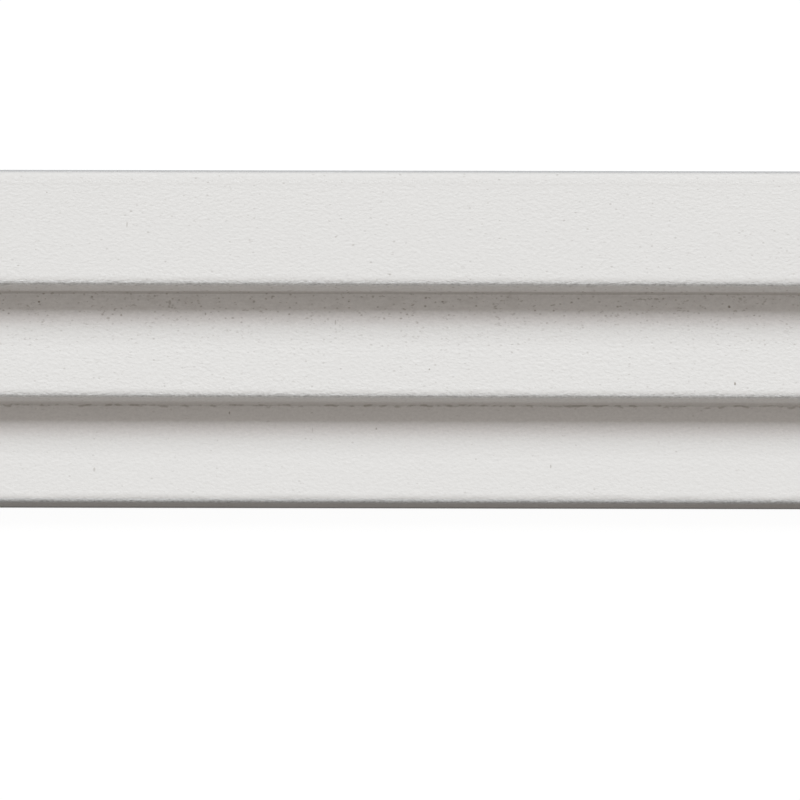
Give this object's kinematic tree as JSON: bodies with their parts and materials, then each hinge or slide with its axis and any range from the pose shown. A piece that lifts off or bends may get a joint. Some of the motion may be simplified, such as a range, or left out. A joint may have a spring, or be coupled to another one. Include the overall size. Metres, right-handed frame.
{
  "type": "three-dimensional wall panel",
  "caption": "Long wall panel with a stepped face: level flat bands, each set back below the last, with softened lower edges and a flat back with shallow glue keys.",
  "frame": {"origin": "centre of the back, halfway along the panel and halfway up it, in the plane of its back", "axes": "+X along the panel's length; +Y towards its top edge, where the thickest band is; +Z out of its face, away from the wall"},
  "size_m": [2, 0.1, 0.0231],
  "materials": {
    "primed_polymer": "matte warm-white factory primer with a fine grain and scattered pinholes"
  },
  "bodies": {
    "root": {"stepped_panel": "primed_polymer"}
  },
  "joints": []
}
